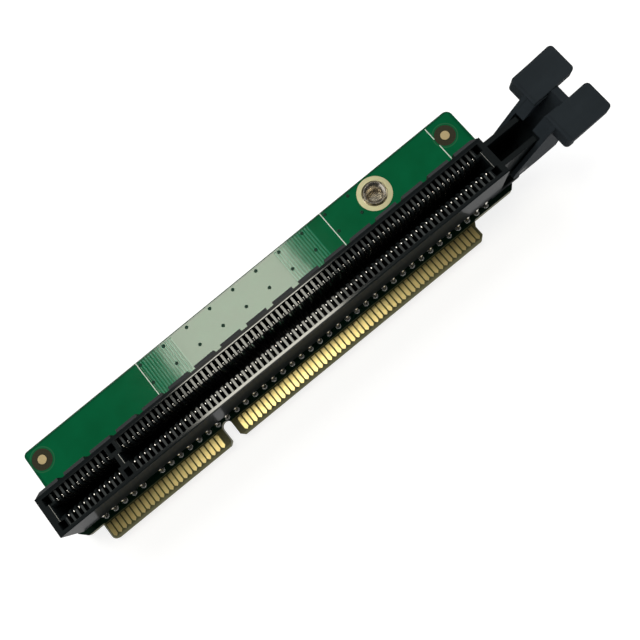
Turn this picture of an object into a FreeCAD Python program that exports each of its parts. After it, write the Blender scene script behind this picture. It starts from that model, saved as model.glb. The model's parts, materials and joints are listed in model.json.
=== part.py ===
import FreeCAD, Part
import math
import os
import Sketcher

# Riser card: an edge-fingered board that carries one long card slot with a lever latch.
# Lengths are in millimetres. The connector's own axes are used throughout: X runs along the slot
# from pin one, Y across it towards the board's plain long edge, and Z is up from the component face.
# Every sub-part is then placed so that the fixing thread's axis crosses the board face at the origin.

SIZES = [
    # alias, value, what it is
    ("fixing_x", 70.35, "fixing thread from pin one, along the slot"),
    ("fixing_y", 10.25, "fixing thread from the slot's centre line"),
    ("pin_pitch", 1.0, "contact and finger pitch"),
    ("short_pins", 11, "contacts a side before the key"),
    ("long_pins", 71, "contacts a side after the key"),
    ("key_span", 3.0, "last pin before the key to the first after it"),
    # board
    ("board_thickness", 1.6, "laminate thickness"),
    ("board_left", 4.6, "board edge before pin one"),
    ("board_right", 89.45, "right edge from pin one"),
    ("board_far", 13.75, "plain long edge from the slot's centre line"),
    ("shoulder", 4.3, "shoulders beside the tongue, from the slot's centre line"),
    ("left_corner_round", 0.9, "round on the far left corner"),
    ("right_corner_round", 1.2, "round on the far right corner"),
    ("corner_bevel", 1.35, "bevel on both shoulder corners"),
    ("tongue_left", 0.4, "tongue's left edge before pin one"),
    ("tongue_right", 79.4, "tongue's right edge from pin one"),
    ("tongue_reach", 7.75, "tongue's leading edge from the slot's centre line"),
    ("tongue_round", 1.0, "round on the tongue's left corner"),
    ("tongue_bevel", 0.75, "bevel on the tongue's right corner"),
    ("tongue_root", 0.65, "slanted run-out at the tongue's right root"),
    ("root_fall", 0.98, "height of that run-out"),
    ("key_left", 25.1, "key notch's left wall from pin one"),
    ("key_width", 1.9, "key notch width"),
    ("key_depth", 3.85, "key notch depth from the leading edge"),
    ("key_mouth", 0.6, "bevels at the notch's mouth"),
    ("key_round", 0.93, "rounds at the notch's root"),
    ("lead_bevel", 0.4, "bevel along the leading edge, both faces"),
    # fingers
    ("finger_width", 0.72, "gold finger width"),
    ("finger_top", 4.75, "finger's upper end from the slot's centre line"),
    ("finger_tip", 7.3, "finger's tip from the slot's centre line"),
    ("finger_point", 0.35, "length of the finger's pointed end"),
    ("finger_thickness", 0.05, "copper, nickel and gold"),
    ("first_finger", 0.5, "first finger from pin one"),
    ("short_fingers", 24, "fingers a face before the notch"),
    ("long_fingers", 51, "fingers a face after the notch"),
    ("first_long_finger", 28.5, "first finger after the notch"),
    # slot housing
    ("housing_left", 2.75, "housing's end before pin one"),
    ("housing_right", 85.75, "housing's end from pin one"),
    ("housing_half", 3.6, "half of the housing's width"),
    ("housing_height", 11.25, "housing's top above the board"),
    ("skirt_gap", 2.2, "side walls stop this far above the board"),
    ("slot_left", 1.2, "card slot's end before pin one"),
    ("slot_right", 84.2, "card slot's end from pin one"),
    ("slot_half", 0.9, "half of the card slot's width"),
    ("slot_floor", 2.9, "slot floor above the board"),
    ("mouth_half", 1.2, "half of the slot's flared mouth"),
    ("mouth_depth", 0.6, "depth of the flared mouth"),
    ("rim_round", 0.22, "round on the rims of the slot's end walls and key rib"),
    ("rib_drop", 0.4, "ribs between contacts stop below the rim"),
    ("cavity_width", 0.62, "contact cavity along the slot"),
    ("cavity_reach", 2.95, "cavity's outer wall from the centre line"),
    ("key_rib", 1.0, "key rib's thickness"),
    ("well_width", 1.05, "blind wells beside the key and at both ends"),
    ("well_near", 1.6, "wells' near wall from the centre line"),
    ("well_depth", 3.0, "depth of the wells"),
    ("end_well_inset", 0.9, "end wells from the housing's ends"),
    ("peg_radius", 1.15, "locating pegs"),
    ("peg_length", 2.3, "pegs below the housing's feet"),
    ("peg_clearance", 0.05, "peg hole over peg, radius"),
    ("foot_length", 1.0, "housing's feet along the slot"),
    ("foot_half", 2.6, "half of an end foot's width"),
    # ledge along the far side
    ("ledge_reach", 0.6, "ledge past the housing's far wall"),
    ("ledge_top", 0.2, "ledge's top below the rim"),
    ("ledge_slope", 0.3, "fall of the ledge's top towards its edge"),
    ("ledge_height", 3.0, "ledge's height"),
    ("ledge_taper", 1.1, "taper at the ledge's ends"),
    ("notch_pitch", 5.2, "notches in the ledge"),
    ("notch_width", 1.25, "width of a notch"),
    ("notch_count", 16, "how many notches"),
    # cheeks that carry the latch
    ("cheek_root", 0.4, "how far the cheeks run into the housing's end"),
    ("cheek_reach", 6.45, "cheeks past the housing's end"),
    ("cheek_inner", 1.65, "cheeks' inner faces from the centre line"),
    ("cheek_outer", 2.5, "cheeks' outer faces from the centre line"),
    ("cheek_bottom", 1.9, "cheeks' underside above the board"),
    ("cheek_floor", 0.9, "thickness of the floor between the cheeks"),
    ("pivot_radius", 0.9, "latch pivot bosses"),
    ("pivot_clearance", 0.05, "pivot hole over pivot boss, radius"),
    ("pivot_wall", 2.0, "pivot from the cheeks' end and underside"),
    # latch
    ("plate_gap", 0.3, "side plates outside the cheeks"),
    ("plate_thickness", 0.75, "side plate thickness"),
    ("ear_radius", 1.95, "side plate's round end about the pivot"),
    ("plate_back", 7.4, "side plate's lower back corner from the pivot"),
    ("plate_back_rise", 0.7, "that corner above the round end's underside"),
    ("latch_rise", 3.2, "paddles' front edges above the housing"),
    ("latch_back", 8.2, "back of the side plates and web from the pivot"),
    ("paddle_inner", 1.3, "paddles' inner edges from the centre line"),
    ("paddle_outer", 6.65, "paddles' outer edges from the centre line"),
    ("paddle_run", 7.6, "paddle length"),
    ("paddle_thickness", 1.4, "paddle thickness"),
    ("paddle_front", 2.25, "height of a paddle's front face"),
    ("paddle_lip", 1.3, "depth of the lip under a paddle's front"),
    ("paddle_round", 0.7, "rounds on the paddles' corners"),
    ("crease_run", 3.7, "faint crease across a paddle from its front edge"),
    ("crease_rise", 0.5, "rise of a paddle up to the crease"),
    ("tip_rise", 1.45, "rise of a paddle up to its tip"),
    ("bead_width", 0.5, "bead along a paddle's front edge"),
    ("bead_height", 0.12, "bead above the paddle"),
    ("hook_inner", 1.07, "hook blocks' inner faces from the centre line"),
    ("hook_gap", 0.55, "hook blocks above the cheeks"),
    ("hook_front", 0.1, "hook blocks' lower front edges past the cheeks"),
    ("hook_lean", 1.65, "paddles' front edges behind those edges"),
    ("hook_depth", 2.6, "hook block along the slot"),
    ("web_thickness", 1.2, "web that joins the side plates"),
    ("web_clear", 2.25, "web's foot from the pivot, past the cheeks' round ends"),
    ("web_foot", 3.4, "web's foot, its back face from the pivot"),
    ("web_waist", 5.2, "web's back face from the pivot at its bend"),
    ("web_waist_rise", 4.6, "web's bend above the pivot"),
    ("web_lip", 0.4, "web's top above the paddles' front edges"),
    ("bury", 0.1, "how deep joined pieces run into one another"),
    # contacts
    ("contact_width", 0.44, "contact strip across its flat"),
    ("strip_thickness", 0.24, "contact strip thickness"),
    ("touch_offset", 0.65, "free contact point from the centre line"),
    ("touch_drop", 2.95, "contact point below the housing's top"),
    ("lead_offset", 1.5, "contact's lead-in tip from the centre line"),
    ("lead_drop", 0.55, "contact's lead-in tip below the housing's top"),
    ("beam_gap", 0.38, "outer contact's beam inside its cavity's outer wall"),
    ("beam_turn", 2.4, "height of that foot above the board"),
    ("outer_tail", 3.55, "outer solder tails from the centre line"),
    ("inner_tail", 1.75, "inner solder tails from the centre line"),
    ("tail_bend", 1.1, "tails bend towards the beams this far above the board"),
    ("tail_reach", 3.1, "tail tips below the component face"),
    ("tail_hole", 0.66, "plated tail holes, across their flats"),
    # fixing and marks
    ("plating", 0.05, "plating thickness"),
    ("thread_radius", 1.43, "crest radius of the blind thread"),
    ("thread_bottom", 2.7, "thread's blind end below the component face"),
    ("countersink", 0.4, "countersink at the thread's mouth"),
    ("bush_wall", 0.52, "bush's barrel round the thread"),
    ("barrel_rise", 0.5, "barrel above the component face"),
    ("barrel_gap", 0.33, "barrel inside the plated fixing hole"),
    ("pad_ring", 0.84, "plated ring round the fixing hole"),
    ("flange_ring", 1.15, "bush's flange round its barrel, under the board"),
    ("fiducial_radius", 0.8, "fiducial pads"),
    ("left_mark_x", 2.3, "left fiducial before pin one"),
    ("left_mark_y", 10.95, "left fiducial from the centre line"),
    ("right_mark_x", 86.05, "right fiducial from pin one"),
    ("right_mark_y", 10.35, "right fiducial from the centre line"),
]

doc = FreeCAD.newDocument("riser_card")
sheet = doc.addObject("Spreadsheet::Sheet", "sizes")
for row, (alias, value, note) in enumerate(SIZES, start=1):
    sheet.set(f"A{row}", alias)
    sheet.set(f"B{row}", str(value))
    sheet.set(f"C{row}", note)
    sheet.setAlias(f"B{row}", alias)
doc.recompute()

ALIASES = sorted((alias for alias, _, _ in SIZES), key=len, reverse=True)


def cell(expression):
    """The expression with each alias written as a reference to the sheet."""
    words = []
    word = ""
    for letter in str(expression) + " ":
        if letter.isalnum() or letter == "_":
            word += letter
            continue
        words.append(f"sizes.{word}" if word in ALIASES else word)
        words.append(letter)
        word = ""
    return "".join(words).strip()


def size(expression):
    """The present value of an expression in the sheet's aliases."""
    return float(sheet.evalExpression(cell(expression)))


# ---------------------------------------------------------------- helpers

PLANES = {
    "XY": FreeCAD.Rotation(),
    "XZ": FreeCAD.Rotation(FreeCAD.Vector(1, 0, 0), 90),
    "YZ": FreeCAD.Rotation(FreeCAD.Vector(1, 1, 1), 120),
}
PLANE_ROLES = {"XY": "XY_Plane", "XZ": "XZ_Plane", "YZ": "YZ_Plane"}


def draw_outline(sketch, corners):
    """Closed straight-sided outline; every corner is held by two named lengths from the origin."""
    points = [FreeCAD.Vector(size(across), size(up), 0) for across, up in corners]
    first = len(sketch.Geometry)
    count = len(points)
    for index, point in enumerate(points):
        sketch.addGeometry(Part.LineSegment(point, points[(index + 1) % count]), False)
    for index, (across, up) in enumerate(corners):
        line = first + index
        following = first + (index + 1) % count
        sketch.addConstraint(Sketcher.Constraint("Coincident", line, 2, following, 1))
        for kind, length in (("DistanceX", across), ("DistanceY", up)):
            number = sketch.addConstraint(
                Sketcher.Constraint(kind, -1, 1, line, 1, size(length)))
            sketch.setExpression(f"Constraints[{number}]", cell(length))


def draw_circle(sketch, across, up, radius):
    """Circle whose centre and radius come from the sheet."""
    centre = FreeCAD.Vector(size(across), size(up), 0)
    circle = sketch.addGeometry(
        Part.Circle(centre, FreeCAD.Vector(0, 0, 1), size(radius)), False)
    held = [("DistanceX", across), ("DistanceY", up)]
    for kind, length in held:
        number = sketch.addConstraint(Sketcher.Constraint(kind, -1, 1, circle, 3, size(length)))
        sketch.setExpression(f"Constraints[{number}]", cell(length))
    number = sketch.addConstraint(Sketcher.Constraint("Radius", circle, size(radius)))
    sketch.setExpression(f"Constraints[{number}]", cell(radius))


def rectangle(left, right, low, high):
    return [(left, low), (right, low), (right, high), (left, high)]


def body_sketch(body, name, plane, height="0"):
    """Sketch on one of the body's own planes, raised along the plane's normal."""
    role = PLANE_ROLES[plane]
    origin_plane = next(item for item in body.Origin.OriginFeatures if item.Role == role)
    sketch = body.newObject("Sketcher::SketchObject", name)
    sketch.AttachmentSupport = [(origin_plane, "")]
    sketch.MapMode = "FlatFace"
    sketch.setExpression("AttachmentOffset.Base.z", cell(height))
    return sketch


def pad(body, name, sketch, length, downward=False):
    """Pad a sketch of the body by a length in the sheet."""
    feature = body.newObject("PartDesign::Pad", name)
    feature.Profile = sketch
    feature.Reversed = downward
    feature.setExpression("Length", cell(length))
    doc.recompute()
    return feature


def pocket(body, name, sketch, depth):
    """Cut a sketch of the body downward by a depth in the sheet, and check that it cuts."""
    before = body.Shape.Volume
    feature = body.newObject("PartDesign::Pocket", name)
    feature.Profile = sketch
    feature.setExpression("Length", cell(depth))
    doc.recompute()
    if body.Shape.Volume >= before:
        feature.Reversed = True
        doc.recompute()
    assert body.Shape.Volume < before, name
    return feature


def repeat(body, name, feature, sketch, count, pitch):
    """Repeat a feature along X."""
    pattern = body.newObject("PartDesign::LinearPattern", name)
    pattern.Originals = [feature]
    pattern.Direction = (sketch, ["H_Axis"])
    pattern.setExpression("Occurrences", cell(count))
    pattern.setExpression("Length", cell(f"({count} - 1) * {pitch}"))
    body.Tip = pattern
    doc.recompute()
    return pattern


def new_body(name):
    body = doc.addObject("PartDesign::Body", name)
    body.Label = name
    return body


def edges_where(feature, test):
    """Names of a feature's straight edges for which test(first point, last point) holds."""
    names = []
    for number, edge in enumerate(feature.Shape.Edges, start=1):
        if len(edge.Vertexes) == 2:
            start, end = (vertex.Point for vertex in edge.Vertexes)
            if test(start, end):
                names.append(f"Edge{number}")
    assert names, feature.Name
    return names


def upright_at(places):
    """Test for upright edges that stand at one of the given (x, y) places."""
    spots = [(size(across), size(along)) for across, along in places]

    def test(start, end):
        upright = abs(start.x - end.x) < 1e-6 and abs(start.y - end.y) < 1e-6
        return upright and any(
            math.hypot(start.x - spot[0], start.y - spot[1]) < 1e-4 for spot in spots)

    return test


def dress(body, kind, name, feature, edges, length, alias):
    """Fillet or chamfer on the named edges of a feature."""
    trim = body.newObject(f"PartDesign::{kind}", name)
    trim.Base = (feature, edges)
    trim.setExpression(alias, cell(length))
    doc.recompute()
    return trim


def extruded(name, plane, corners, half_length, reach=None):
    """Prism on an outline: symmetric by half_length, or from half_length out to reach."""
    sketch = doc.addObject("Sketcher::SketchObject", f"{name}_outline")
    sketch.Placement = FreeCAD.Placement(FreeCAD.Vector(), PLANES[plane])
    draw_outline(sketch, corners)
    prism = doc.addObject("Part::Extrusion", name)
    prism.Base = sketch
    prism.DirMode = "Normal"
    prism.Solid = True
    if reach is None:
        prism.Symmetric = True
        prism.setExpression("LengthFwd", cell(f"2 * ({half_length})"))
    else:
        prism.setExpression("LengthFwd", cell(reach))
        prism.setExpression("LengthRev", cell(f"-({half_length})"))
    return prism


def combine(kind, name, *pieces):
    """Part boolean of two or more objects."""
    feature = doc.addObject(f"Part::{kind}", name)
    if kind == "MultiFuse":
        feature.Shapes = list(pieces)
    else:
        feature.Base, feature.Tool = pieces
    return feature


def mirrored(name, source):
    """Copy of an object on the other side of the slot's centre plane."""
    feature = doc.addObject("Part::Mirroring", name)
    feature.Source = source
    feature.Base = FreeCAD.Vector(0, 0, 0)
    feature.Normal = FreeCAD.Vector(0, 1, 0)
    return feature


# ---------------------------------------------------------------- where pins and fingers stand

def pin_places(section):
    """(number, x) of the pins on one side, before or after the key."""
    short = int(size("short_pins"))
    pitch = size("pin_pitch")
    if section == "short":
        return [(number, (number - 1) * pitch) for number in range(1, short + 1)]
    start = (short - 1) * pitch + size("key_span")
    total = int(size("long_pins"))
    return [(short + 1 + step, start + step * pitch) for step in range(total)]


FIRST_LONG_PIN = "(short_pins - 1) * pin_pitch + key_span"
KEY_CENTRE = "(short_pins - 1) * pin_pitch + key_span / 2"
PIVOT_X = "housing_right + cheek_reach - pivot_wall"
PIVOT_Z = "cheek_bottom + pivot_wall"
PLATE_INNER = "(cheek_outer + plate_gap)"
PLATE_OUTER = "(cheek_outer + plate_gap + plate_thickness)"
MID_PLATE = "(cheek_outer + plate_gap + plate_thickness / 2)"
BARREL = "(thread_radius + bush_wall)"
FIXING_HOLE = "(thread_radius + bush_wall + barrel_gap)"


def tail_rows():
    """Every solder tail: side, row, section and the x of each tail."""
    rows = []
    for side in ("far", "near"):
        for row in ("outer", "inner"):
            odd_is_outer = side == "far"
            for section in ("short", "long"):
                wanted = 1 if (row == "outer") == odd_is_outer else 0
                places = [x for number, x in pin_places(section) if number % 2 == wanted]
                rows.append((side, row, section, places))
    return rows


# ---------------------------------------------------------------- circuit board

def make_board():
    body = new_body("circuit_board")
    sketch = body_sketch(body, "board_outline", "XY")
    notch_right = "(key_left + key_width)"
    notch_top = "-(tongue_reach - key_depth)"
    edge = "-tongue_reach"
    draw_outline(sketch, [
        ("-board_left", "board_far"),
        ("board_right", "board_far"),
        ("board_right", "-(shoulder - corner_bevel)"),
        ("board_right - corner_bevel", "-shoulder"),
        ("tongue_right + tongue_root", "-shoulder"),
        ("tongue_right", "-(shoulder + root_fall)"),
        ("tongue_right", "-(tongue_reach - tongue_bevel)"),
        ("tongue_right - tongue_bevel", edge),
        (f"{notch_right} + key_mouth", edge),
        (notch_right, "-(tongue_reach - key_mouth)"),
        (notch_right, notch_top),
        ("key_left", notch_top),
        ("key_left", "-(tongue_reach - key_mouth)"),
        ("key_left - key_mouth", edge),
        ("-tongue_left", edge),
        ("-tongue_left", "-shoulder"),
        ("-(board_left - corner_bevel)", "-shoulder"),
        ("-board_left", "-(shoulder - corner_bevel)"),
    ])
    slab = pad(body, "laminate", sketch, "board_thickness", downward=True)
    left = dress(body, "Fillet", "left_round", slab,
                 edges_where(slab, upright_at([("-board_left", "board_far")])),
                 "left_corner_round", "Radius")
    right = dress(body, "Fillet", "right_round", left,
                  edges_where(left, upright_at([("board_right", "board_far")])),
                  "right_corner_round", "Radius")
    corner = dress(body, "Fillet", "tongue_corner", right,
                   edges_where(right, upright_at([("-tongue_left", edge)])),
                   "tongue_round", "Radius")
    notch = dress(body, "Fillet", "notch_round", corner,
                  edges_where(corner, upright_at([("key_left", notch_top),
                                                  (notch_right, notch_top)])),
                  "key_round", "Radius")
    leading = size(edge)
    dress(body, "Chamfer", "leading_bevel", notch,
          edges_where(notch, lambda start, end: abs(start.y - leading) < 1e-6
                      and abs(end.y - leading) < 1e-6 and abs(start.z - end.z) < 1e-6),
          "lead_bevel", "Size")

    holes = body_sketch(body, "round_holes", "XY")
    draw_circle(holes, "fixing_x", "fixing_y", f"{FIXING_HOLE} + plating")
    for peg_x in (KEY_CENTRE, "housing_right - peg_radius"):
        draw_circle(holes, peg_x, "0", "peg_radius + peg_clearance")
    pocket(body, "fixing_and_peg_holes", holes, "board_thickness")

    for name, first_pin, tails in (("odd", 1, ("outer_tail", "-inner_tail")),
                                   ("even", 0, ("inner_tail", "-outer_tail"))):
        for section in ("short", "long"):
            places = [x for number, x in pin_places(section) if number % 2 == first_pin]
            sketch = body_sketch(body, f"{name}_{section}_squares", "XY")
            for centre in tails:
                draw_outline(sketch, rectangle(
                    f"{places[0]:.9g} - tail_hole / 2", f"{places[0]:.9g} + tail_hole / 2",
                    f"{centre} - tail_hole / 2", f"{centre} + tail_hole / 2"))
            hole = pocket(body, f"{name}_{section}_first", sketch, "board_thickness")
            repeat(body, f"{name}_{section}_holes", hole, sketch,
                   str(len(places)), "2 * pin_pitch")
    return body


# ---------------------------------------------------------------- slot housing

def make_housing():
    body = new_body("slot_housing")
    block = body_sketch(body, "block_outline", "XY", "skirt_gap")
    draw_outline(block, rectangle("-housing_left", "housing_right", "-housing_half", "housing_half"))
    pad(body, "block", block, "housing_height - skirt_gap")

    feet = body_sketch(body, "feet_outline", "XY")
    draw_outline(feet, rectangle("-housing_left", "-housing_left + foot_length",
                                 "-foot_half", "foot_half"))
    draw_outline(feet, rectangle(f"{KEY_CENTRE} - 0.5 * foot_length",
                                 f"{KEY_CENTRE} + 0.5 * foot_length",
                                 "-slot_half", "slot_half"))
    draw_outline(feet, rectangle("housing_right - foot_length", "housing_right",
                                 "-foot_half", "foot_half"))
    pad(body, "feet", feet, "skirt_gap")

    pegs = body_sketch(body, "peg_circles", "XY", "skirt_gap")
    for peg_x in (KEY_CENTRE, "housing_right - peg_radius"):
        draw_circle(pegs, peg_x, "0", "peg_radius")
    pad(body, "pegs", pegs, "skirt_gap + peg_length", downward=True)

    ledge = body_sketch(body, "ledge_section", "YZ", "-housing_left")
    ledge_high = "(housing_height - ledge_top)"
    draw_outline(ledge, [
        ("cavity_reach", f"{ledge_high} - ledge_height"),
        ("housing_half + ledge_reach", f"{ledge_high} - ledge_height"),
        ("housing_half + ledge_reach", f"{ledge_high} - ledge_slope"),
        ("housing_half", ledge_high),
        ("cavity_reach", ledge_high),
    ])
    pad(body, "ledge", ledge, "housing_left + housing_right")
    ends = body_sketch(body, "ledge_end_outlines", "XY", "housing_height")
    outside = "(housing_half + 2 * ledge_reach)"
    for end, taper in (("-housing_left", "ledge_taper"), ("housing_right", "-ledge_taper")):
        draw_outline(ends, [(end, "housing_half"),
                            (f"{end} + 2 * {taper}", outside),
                            (end, outside)])
    pocket(body, "ledge_ends", ends, "ledge_top + ledge_height")
    middle = "(housing_right - housing_left) / 2"
    first_notch = f"{middle} - (notch_count - 1) / 2 * notch_pitch"
    notch = body_sketch(body, "notch_outline", "XY", "housing_height")
    draw_outline(notch, rectangle(f"{first_notch} - notch_width / 2",
                                  f"{first_notch} + notch_width / 2",
                                  "housing_half", "housing_half + 2 * ledge_reach"))
    cut = pocket(body, "first_notch", notch, "ledge_top + ledge_height")
    repeat(body, "notches", cut, notch, "notch_count", "notch_pitch")

    rib_left = f"({KEY_CENTRE} - key_rib / 2)"
    rib_right = f"({KEY_CENTRE} + key_rib / 2)"
    drop = body_sketch(body, "rib_drop_outline", "XY", "housing_height")
    draw_outline(drop, rectangle("-slot_left", f"{KEY_CENTRE} - well_width",
                                 "-cavity_reach", "cavity_reach"))
    draw_outline(drop, rectangle(f"{KEY_CENTRE} + well_width", "slot_right",
                                 "-cavity_reach", "cavity_reach"))
    pocket(body, "dropped_ribs", drop, "rib_drop")

    slot = body_sketch(body, "slot_outline", "XY", "housing_height")
    draw_outline(slot, rectangle("-slot_left", rib_left, "-slot_half", "slot_half"))
    draw_outline(slot, rectangle(rib_right, "slot_right", "-slot_half", "slot_half"))
    pocket(body, "card_slot", slot, "housing_height - slot_floor")

    rims = [size(end) for end in ("-slot_left", rib_left, rib_right, "slot_right")]
    rim_height = size("housing_height")
    slot_walls = body.Tip
    dress(body, "Fillet", "slot_end_rims", slot_walls,
          edges_where(slot_walls, lambda start, end: abs(start.z - rim_height) < 1e-6
                      and abs(end.z - rim_height) < 1e-6 and abs(start.x - end.x) < 1e-6
                      and any(abs(start.x - rim) < 1e-6 for rim in rims)),
          "rim_round", "Radius")

    for name, start, end in (("short_mouth", "-slot_left", rib_left),
                             ("long_mouth", rib_right, "slot_right")):
        mouth = body_sketch(body, f"{name}_section", "YZ", start)
        top = "housing_height - rib_drop"
        draw_outline(mouth, [("-mouth_half", top), ("mouth_half", top),
                             ("slot_half", f"{top} - mouth_depth"),
                             ("-slot_half", f"{top} - mouth_depth")])
        before = body.Shape.Volume
        flare = body.newObject("PartDesign::Pocket", name)
        flare.Profile = mouth
        flare.Reversed = True
        flare.setExpression("Length", cell(f"({end}) - ({start})"))
        doc.recompute()
        assert body.Shape.Volume < before, name

    wells = body_sketch(body, "well_outlines", "XY", "housing_height")
    for left in ("-housing_left + end_well_inset",
                 "housing_right - end_well_inset - well_width",
                 f"{KEY_CENTRE} - well_width / 2"):
        for low, high in (("well_near", "cavity_reach"), ("-cavity_reach", "-well_near")):
            draw_outline(wells, rectangle(left, f"{left} + well_width", low, high))
    pocket(body, "wells", wells, "well_depth")

    cheeks = body_sketch(body, "cheek_side", "XZ")
    cheek_end = "housing_right + cheek_reach"
    draw_outline(cheeks, [
        ("housing_right - cheek_root", "cheek_bottom"),
        (cheek_end, "cheek_bottom"),
        (cheek_end, "housing_height"),
        ("housing_right - cheek_root", "housing_height"),
    ])
    block = body.newObject("PartDesign::Pad", "cheeks")
    block.Profile = cheeks
    block.Midplane = True
    block.setExpression("Length", cell("2 * cheek_outer"))
    doc.recompute()
    end_x = size(cheek_end)
    low_z = size("cheek_bottom")
    rounded = dress(body, "Fillet", "cheek_round", block,
                    edges_where(block, lambda start, end: abs(start.x - end_x) < 1e-6
                                and abs(end.x - end_x) < 1e-6 and abs(start.z - low_z) < 1e-6
                                and abs(end.z - low_z) < 1e-6),
                    "pivot_wall", "Radius")
    assert rounded.Shape.isValid()
    bosses = body_sketch(body, "pivot_circles", "XZ")
    draw_circle(bosses, PIVOT_X, PIVOT_Z, "pivot_radius")
    boss = body.newObject("PartDesign::Pad", "pivots")
    boss.Profile = bosses
    boss.Midplane = True
    boss.setExpression("Length", cell(f"2 * {PLATE_OUTER}"))
    doc.recompute()
    channel = body_sketch(body, "channel_outline", "XY", "housing_height")
    draw_outline(channel, rectangle("housing_right", cheek_end, "-cheek_inner", "cheek_inner"))
    pocket(body, "channel", channel, "housing_height - cheek_bottom - cheek_floor")

    trough = body_sketch(body, "trough_outlines", "XY", "skirt_gap")
    for low, high in (("slot_half", "cavity_reach"), ("-cavity_reach", "-slot_half")):
        draw_outline(trough, rectangle("-slot_left / 2", "slot_right - slot_left / 2", low, high))
    pocket(body, "troughs", trough, "slot_floor - skirt_gap")
    for name, first, count in (("short_cavities", "0", "short_pins"),
                               ("long_cavities", FIRST_LONG_PIN, "long_pins")):
        cavity = body_sketch(body, f"{name}_outline", "XY", "housing_height")
        for low, high in (("slot_half", "cavity_reach"), ("-cavity_reach", "-slot_half")):
            draw_outline(cavity, rectangle(f"{first} - cavity_width / 2",
                                           f"{first} + cavity_width / 2", low, high))
        cut = pocket(body, f"{name}_first", cavity, "housing_height - skirt_gap")
        repeat(body, name, cut, cavity, count, "pin_pitch")
    return body


# ---------------------------------------------------------------- latch

def pivot_cylinder(name, radius, start, height):
    """Cylinder on the latch's hinge line, from start along Y."""
    cylinder = doc.addObject("Part::Cylinder", name)
    cylinder.setExpression("Radius", cell(radius))
    cylinder.setExpression("Height", cell(height))
    cylinder.Placement.Rotation = FreeCAD.Rotation(FreeCAD.Vector(1, 0, 0), -90)
    cylinder.setExpression("Placement.Base.x", cell(PIVOT_X))
    cylinder.setExpression("Placement.Base.y", cell(start))
    cylinder.setExpression("Placement.Base.z", cell(PIVOT_Z))
    return cylinder


def paddle_section(front, top):
    """Side outline of a paddle: a deep front lip, a bead on it and two flat runs up to the tip."""
    crease = f"({front} + crease_run)"
    tip = f"({front} + paddle_run)"
    lip_back = f"({front} + paddle_lip)"
    return [
        (front, f"{top} - paddle_front"),
        (lip_back, f"{top} - paddle_front"),
        (lip_back, f"{top} - paddle_thickness"),
        (crease, f"{top} + crease_rise - paddle_thickness"),
        (tip, f"{top} + tip_rise - paddle_thickness"),
        (tip, f"{top} + tip_rise"),
        (crease, f"{top} + crease_rise"),
        (f"{front} + bead_width", top),
        (f"{front} + bead_width", f"{top} + bead_height"),
        (front, f"{top} + bead_height"),
    ]


def make_latch():
    plate_low = f"({PIVOT_Z} - ear_radius)"
    hook_front = "(housing_right + cheek_reach + hook_front)"
    hook_low = "(housing_height + hook_gap)"
    lip_front = f"({hook_front} + hook_lean)"
    top = "(housing_height + latch_rise)"
    back = f"({PIVOT_X} + latch_back)"

    plate = extruded("side_plate", "XZ", [
        (PIVOT_X, plate_low),
        (f"{PIVOT_X} + web_foot", plate_low),
        (f"{PIVOT_X} + plate_back", f"{plate_low} + plate_back_rise"),
        (back, f"{top} + bury"),
        (lip_front, top),
        (hook_front, hook_low),
        (f"{PIVOT_X} - ear_radius * cos(30)", f"{PIVOT_Z} + ear_radius * sin(30)"),
    ], f"-{PLATE_OUTER}", f"-{PLATE_INNER}")
    ear = pivot_cylinder("ear", "ear_radius", PLATE_INNER, "plate_thickness")
    hook = extruded("hook_block", "XZ", [
        (hook_front, hook_low),
        (f"{hook_front} + hook_depth", hook_low),
        (f"{lip_front} + hook_depth", f"{top} - bury"),
        (lip_front, f"{top} - bury"),
    ], f"-{MID_PLATE}", "-hook_inner")
    paddle_blank = extruded("paddle_blank", "XZ", paddle_section(lip_front, top),
                            "-paddle_outer", "-paddle_inner")
    doc.recompute()
    tip = f"{lip_front} + paddle_run"
    corners = [(lip_front, "paddle_outer"), (tip, "paddle_outer"), (tip, "paddle_inner")]
    paddle = doc.addObject("Part::Fillet", "paddle")
    paddle.Base = paddle_blank
    corner_radius = size("paddle_round")
    names = edges_where(paddle_blank, upright_at(corners))
    paddle.Edges = [(int(name[4:]), corner_radius, corner_radius) for name in names]
    web_bend = f"{PIVOT_Z} + web_waist_rise"
    web = extruded("web", "XZ", [
        (f"{PIVOT_X} + web_clear", plate_low),
        (f"{PIVOT_X} + web_foot", plate_low),
        (f"{PIVOT_X} + web_waist", web_bend),
        (back, f"{top} + web_lip"),
        (f"{back} - web_thickness", f"{top} + web_lip"),
        (f"{PIVOT_X} + web_waist - web_thickness", web_bend),
        (f"{PIVOT_X} + web_clear", PIVOT_Z),
    ], MID_PLATE)

    side = [plate, ear, hook, paddle]
    other_side = [mirrored(f"far_{piece.Name}", piece) for piece in side]
    blank = combine("MultiFuse", "latch_blank", web, *side, *other_side)
    reach = f"({PLATE_OUTER} + bury)"
    hole = pivot_cylinder("pivot_hole", "pivot_radius + pivot_clearance", f"-{reach}", f"2 * {reach}")
    latch = combine("Cut", "card_latch", blank, hole)
    latch.Label = "card_latch"
    doc.recompute()
    return latch


# ---------------------------------------------------------------- contacts

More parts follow.
